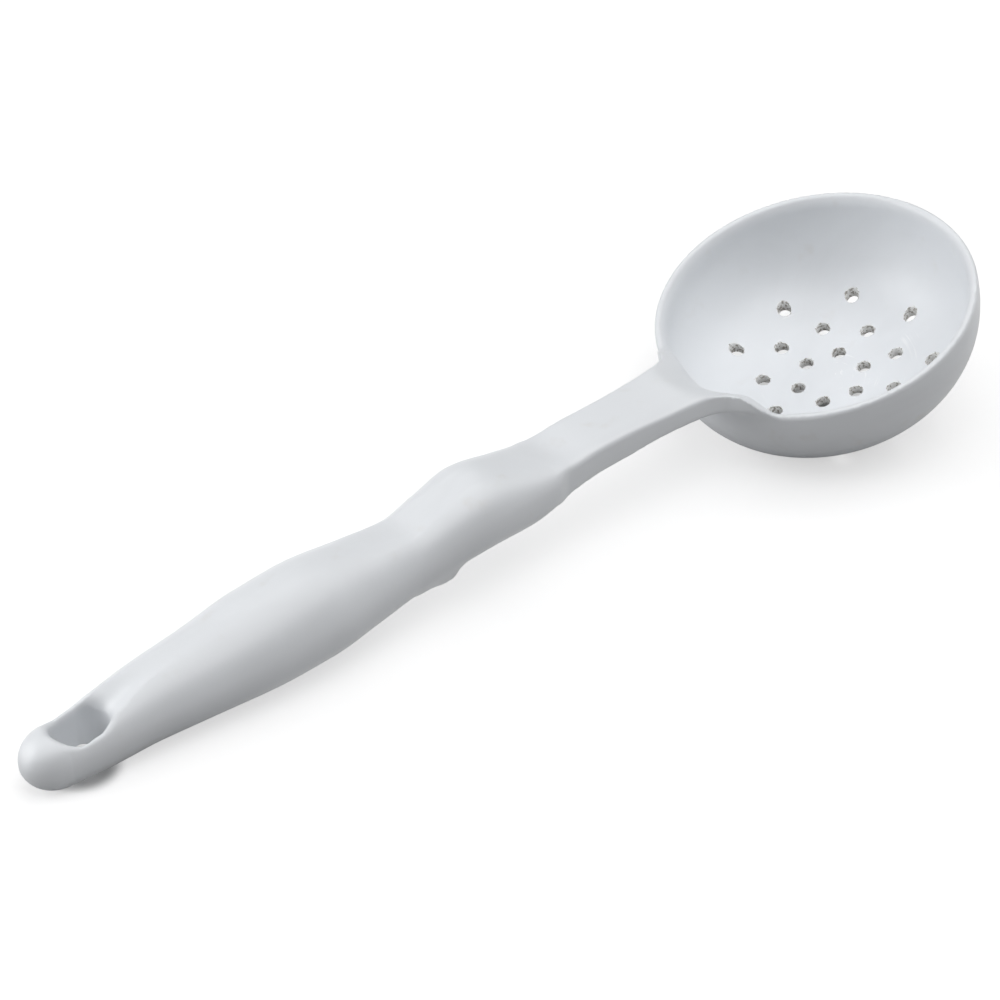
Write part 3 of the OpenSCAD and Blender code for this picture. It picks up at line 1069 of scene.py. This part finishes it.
def mark_near_holes(mesh, field, holes):
    """Marks how near each point lies to a drain hole, for the pale lining of painted light and the
    dark specks of residue and painted shade in and around it.
    """
    x, y, z = vectors(mesh.vertices, "co").T / MM
    along, up = field.in_bowl(x, z)
    numbers = {"Inner holes": holes.inner, "Outer holes": holes.outer}
    gap = np.full(len(x), np.inf)
    for step, (count, turn) in enumerate(DRAIN_RINGS):
        r = holes.pitch * (step + 1)
        for i in range(numbers[count]):
            a = math.radians(turn) + 2 * math.pi * i / numbers[count]
            away = np.hypot(along - r * math.cos(a), y - r * math.sin(a)) - holes.drain_d / 2
            gap = np.minimum(gap, away)
    near = np.clip(1 - gap / holes.residue_and_shade_reach, 0, 1)
    upper_third = up > -field.p.bowl_depth / 3
    near[upper_third] = 0
    layer = mesh.attributes.new("residue", "FLOAT", "POINT")
    layer.data.foreach_set("value", near.astype(np.float32))


# The materials


def plastic_material(finish, field):
    """White moulded plastic: flow marks, stains, scratches, and at the drain holes a pale lining of
    painted light and dark specks of residue and painted shade.
    """
    material = bpy.data.materials.new("white_plastic")
    n = empty_nodes(material)
    place = n.add("ShaderNodeTexCoord").outputs["Object"]

    def noise(scale, detail, at=place, stretch=(1, 1, 1), turn=(0, 0, 0), distortion=0.0):
        mapped = n.add("ShaderNodeMapping", {"Vector": at, "Scale": stretch, "Rotation": turn})
        inputs = {"Vector": mapped.outputs[0], "Scale": scale, "Detail": detail}
        return n.add("ShaderNodeTexNoise", {**inputs, "Distortion": distortion}).outputs[0]

    def mix(share, a, b):
        a, b = [c if isinstance(c, bpy.types.NodeSocket) else (*c, 1) for c in (a, b)]
        return n.add("ShaderNodeMix", {0: share, 6: a, 7: b}, data_type="RGBA").outputs[2]

    flow = noise(scale=26, detail=3, stretch=(1, 1.6, 1.6), distortion=0.8)
    flow = n.ramp(flow, low=0.45, high=0.75)
    colour = mix(n.times(flow, FLOW_SHARE), finish.colour, finish.shade)
    stains = n.ramp(noise(scale=90, detail=4), low=0.62, high=0.80)
    colour = mix(n.times(stains, STAIN_SHARE), colour, finish.stain)

    # Pale arcs that stirring leaves on the bowl's floor, round the bowl's own axis
    to_middle = (-field.bowl_x * MM, 0, -field.bowl_z * MM)
    centred = n.add("ShaderNodeMapping", {"Vector": place, "Location": to_middle})
    level = n.add(
        "ShaderNodeMapping",
        {"Vector": centred.outputs[0], "Rotation": (0, field.lean, 0)},
    )
    spot = n.add("ShaderNodeSeparateXYZ", {0: level.outputs[0]}).outputs
    reach = n.hypot(spot["X"], spot["Y"])
    turn = n.math("ARCTAN2", spot["Y"], spot["X"])
    round_about = n.add(
        "ShaderNodeCombineXYZ",
        {"X": n.times(reach, ARC_STEP), "Y": n.times(turn, ARC_BREAK), "Z": 0.0},
    )
    arcs = noise(scale=1, detail=3, at=round_about.outputs[0], distortion=0.3)
    patches = n.ramp(noise(scale=70, detail=2), low=0.48, high=0.62)
    in_reach = n.math("LESS_THAN", reach, ARC_R)
    in_floor = n.times(in_reach, n.math("LESS_THAN", spot["Z"], ARC_TOP))
    arcs = n.times(n.times(n.ramp(arcs, low=0.60, high=0.70), patches), in_floor)
    colour = mix(n.times(arcs, WORN_SHARE), colour, finish.worn)

    # Painted light and shade in the drain holes: a pale lining that lightens the bores' walls, and
    # dark specks, partly residue and partly painted shade, that thin out round them
    near = n.add("ShaderNodeAttribute", attribute_name="residue").outputs["Fac"]
    colour = mix(n.ramp(near, low=0.5, high=0.9), colour, finish.bore_painted_light)
    specks = n.plus(noise(scale=1300, detail=3), n.times(near, SPECK_NEAR))
    specks = n.times(n.ramp(specks, low=0.56, high=0.62), n.ramp(near, low=0.1, high=0.8))
    colour = mix(n.times(specks, SPECK_SHARE), colour, finish.residue)

    scratch = noise(scale=140, detail=1, stretch=(0.05, 1.4, 1.4), turn=(0, 0, 0.5), distortion=0.2)
    scratch = n.ramp(scratch, low=0.66, high=0.70)
    uneven = n.times(n.minus(noise(scale=60, detail=3), 0.5), ROUGH_SPREAD)
    rough = n.plus(n.plus(finish.roughness, uneven), n.times(scratch, SCRATCH_ROUGH))
    grain = n.times(noise(scale=900, detail=2), GRAIN_SHARE)
    height = n.minus(grain, n.times(scratch, SCRATCH_SHARE))
    bump = n.add(
        "ShaderNodeBump",
        {"Strength": BUMP_STRENGTH, "Distance": BUMP_DEPTH, "Height": height},
    )
    shader = n.add(
        "ShaderNodeBsdfPrincipled",
        {"Base Color": colour, "Roughness": rough, "IOR": PLASTIC_IOR, "Normal": bump.outputs[0]},
    )
    n.add("ShaderNodeOutputMaterial", {"Surface": shader.outputs[0]})
    return material


def table_material(stage, field):
    """A pale table that shows white to the camera and keeps the ladle's shadow.

    Its glow is left out under the bowl and in the hanging hole, a painted shadow, and near the tip
    and the bowl where the plastic mirrors it, a painted shadow in the reflection. It grows far
    away.
    """
    material = bpy.data.materials.new("pale_table")
    n = empty_nodes(material)
    matt = n.add("ShaderNodeBsdfDiffuse", {"Color": (*stage.table, 1)})
    rays = n.add("ShaderNodeLightPath").outputs
    spot = n.add("ShaderNodeTexCoord").outputs["Object"]

    def open_round(x, near, far):
        """Opens from 0 to 1 between two distances from a place on the ladle's middle line."""
        inputs = {0: spot, 1: (x * MM, 0, 0)}
        away = n.add("ShaderNodeVectorMath", inputs, operation="DISTANCE").outputs["Value"]
        return n.ramp(away, low=near * MM, high=far * MM)

    hole_x, hole_w = field.p.hang_s - LENGTH / 2, field.p.hang_w
    # Painted shadow: the glow seen directly is left out in the hanging hole and under the bowl
    painted_shadow_in_hole = open_round(hole_x, hole_w / 2, hole_w)
    painted_shadow_under_bowl = open_round(field.bowl_x, *BOWL_PAINTED_SHADOW)
    seen = n.math("MAXIMUM", rays["Is Camera Ray"], rays["Is Transmission Ray"])
    seen = n.times(seen, n.times(painted_shadow_in_hole, painted_shadow_under_bowl))
    # Painted shadow in the reflection: the glow that the plastic mirrors is left out near the tip
    # and the bowl
    painted_mirror_shadow_tip = open_round(hole_x, *TIP_MIRRORED_SHADOW)
    painted_mirror_shadow_bowl = open_round(field.bowl_x, *BOWL_MIRRORED_SHADOW)
    mirrored = n.times(rays["Is Glossy Ray"], n.times(painted_mirror_shadow_tip, painted_mirror_shadow_bowl))
    farther = n.times(open_round(0, *FAR_TABLE), FAR_GLOW - stage.glow)
    bright = n.times(n.math("MAXIMUM", seen, mirrored), n.plus(stage.glow, farther))
    shine = n.add("ShaderNodeEmission", {"Strength": bright})
    both = n.add("ShaderNodeAddShader", {0: matt.outputs[0], 1: shine.outputs[0]})
    n.add("ShaderNodeOutputMaterial", {"Surface": both.outputs[0]})
    return material


# The stage


def new_lamp(name, size, place, power):
    """A rectangular light that faces the ladle."""
    light = bpy.data.lights.new(name, "AREA")
    light.shape = "RECTANGLE"
    light.size, light.size_y = size
    light.energy = power
    holder = new_object(name, light)
    holder.location = place
    holder.rotation_mode = "QUATERNION"
    holder.rotation_quaternion = (Vector(LAMP_AIM) - Vector(place)).to_track_quat("-Z", "Y")


def room():
    """A world that is pale to the camera and gives no light."""
    world = bpy.data.worlds.new("room")
    n = empty_nodes(world)
    rays = n.add("ShaderNodeLightPath").outputs
    back = n.add("ShaderNodeBackground", {"Strength": rays["Is Camera Ray"]})
    n.add("ShaderNodeOutputWorld", {"Surface": back.outputs[0]})
    return world


def new_camera():
    """The camera, which looks down on the ladle from the side, nearer to its tip."""
    right, up = Vector(CAMERA_RIGHT), Vector(CAMERA_UP)
    back_way = right.cross(up)
    camera = bpy.data.cameras.new("camera")
    camera.sensor_width = CAMERA_SENSOR
    camera.lens = CAMERA_LENS
    camera.clip_start, camera.clip_end = CAMERA_RANGE
    holder = new_object("camera", camera)
    holder.matrix_world = Matrix((right, up, back_way)).transposed().to_4x4()
    holder.location = Vector(CAMERA_AIM) + back_way * CAMERA_AWAY
    return holder


# The operators and the panel


class LADLE_OT_moulding(Operator):
    """Nets the closed surface of the moulding from its field"""

    bl_idname = "ladle.moulding"
    bl_label = "Moulding"

    def execute(self, context):
        shape = context.scene.ladle_shape
        new_object("ladle", moulding_mesh(Moulding(shape), shape.cell))
        return {"FINISHED"}


class LADLE_OT_drain_holes(Operator):
    """Bores the rings of drain holes and gives the ladle its plastic"""

    bl_idname = "ladle.drain_holes"
    bl_label = "Drain holes"

    def execute(self, context):
        shape, holes = context.scene.ladle_shape, context.scene.ladle_holes
        piece = bpy.data.objects["ladle"]
        field = Moulding(shape)
        material = plastic_material(context.scene.ladle_finish, field)
        piece.data.materials.append(material)
        given = {
            "Hole radius": holes.drain_d / 2 * MM,
            "Edge rounding": holes.edge * MM,
            "Ring step": holes.pitch * MM,
            "Inner holes": holes.inner,
            "Outer holes": holes.outer,
            "Rim radius": shape.bowl_d / 2 * MM,
            "Floor radius": FLOOR_R * MM,
            "Depth": shape.bowl_depth * MM,
            "Wall": shape.wall_t * MM,
            "Fullness": shape.fullness,
            "Lean": math.radians(shape.bowl_lean),
            "Bowl place": (field.bowl_x * MM, 0, field.bowl_z * MM),
        }
        run_tree(piece, drain_hole_tree(material), given)
        mark_near_holes(piece.data, field, holes)
        exact_shading(piece.data, field)
        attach(piece, "root")
        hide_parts(*NODES)
        return {"FINISHED"}


class LADLE_OT_stage(Operator):
    """Lays the table and sets the lights and the camera"""

    bl_idname = "ladle.stage"
    bl_label = "Table, lights and camera"

    def execute(self, context):
        scene = context.scene
        stage = scene.ladle_stage
        mesh = bpy.data.meshes.new("table")
        around = ((-1, -1), (1, -1), (1, 1), (-1, 1))
        corners = [(x * TABLE_HALF, y * TABLE_HALF, 0) for x, y in around]
        mesh.from_pydata(corners, [], [(0, 1, 2, 3)])
        mesh.materials.append(table_material(stage, Moulding(scene.ladle_shape)))
        table = new_object("table", mesh)
        for name, size, place in LAMPS:
            new_lamp(name + "_light", size, place, getattr(stage, name))
        scene.world = room()
        scene.view_settings.view_transform = "Standard"
        scene.camera = new_camera()
        return {"FINISHED"}


class LADLE_PT_panel(Panel):
    """Lists the ladle's sizes, finishes and steps."""

    bl_idname = "LADLE_PT_panel"
    bl_label = "Perforated ladle"
    bl_space_type = "VIEW_3D"
    bl_region_type = "UI"
    bl_category = "Ladle"

    def draw(self, context):
        for group in GROUPS:
            box = self.layout.box()
            settings = getattr(context.scene, group)
            for name in settings.__annotations__:
                box.prop(settings, name)
        for step in STEPS:
            self.layout.operator(step.bl_idname)


GROUPS = {
    "ladle_shape": LadleShape,
    "ladle_holes": LadleHoles,
    "ladle_finish": LadleFinish,
    "ladle_stage": LadleStage,
}
STEPS = (LADLE_OT_moulding, LADLE_OT_drain_holes, LADLE_OT_stage)
CLASSES = (*GROUPS.values(), *STEPS, LADLE_PT_panel)


def register():
    for cls in CLASSES:
        bpy.utils.register_class(cls)
    for name, cls in GROUPS.items():
        setattr(bpy.types.Scene, name, PointerProperty(type=cls))


def unregister():
    for name in GROUPS:
        delattr(bpy.types.Scene, name)
    for cls in reversed(CLASSES):
        bpy.utils.unregister_class(cls)


def main():
    register()
    bpy.ops.ladle.moulding()
    bpy.ops.ladle.drain_holes()
    bpy.ops.ladle.stage()


if __name__ == "__main__":
    main()
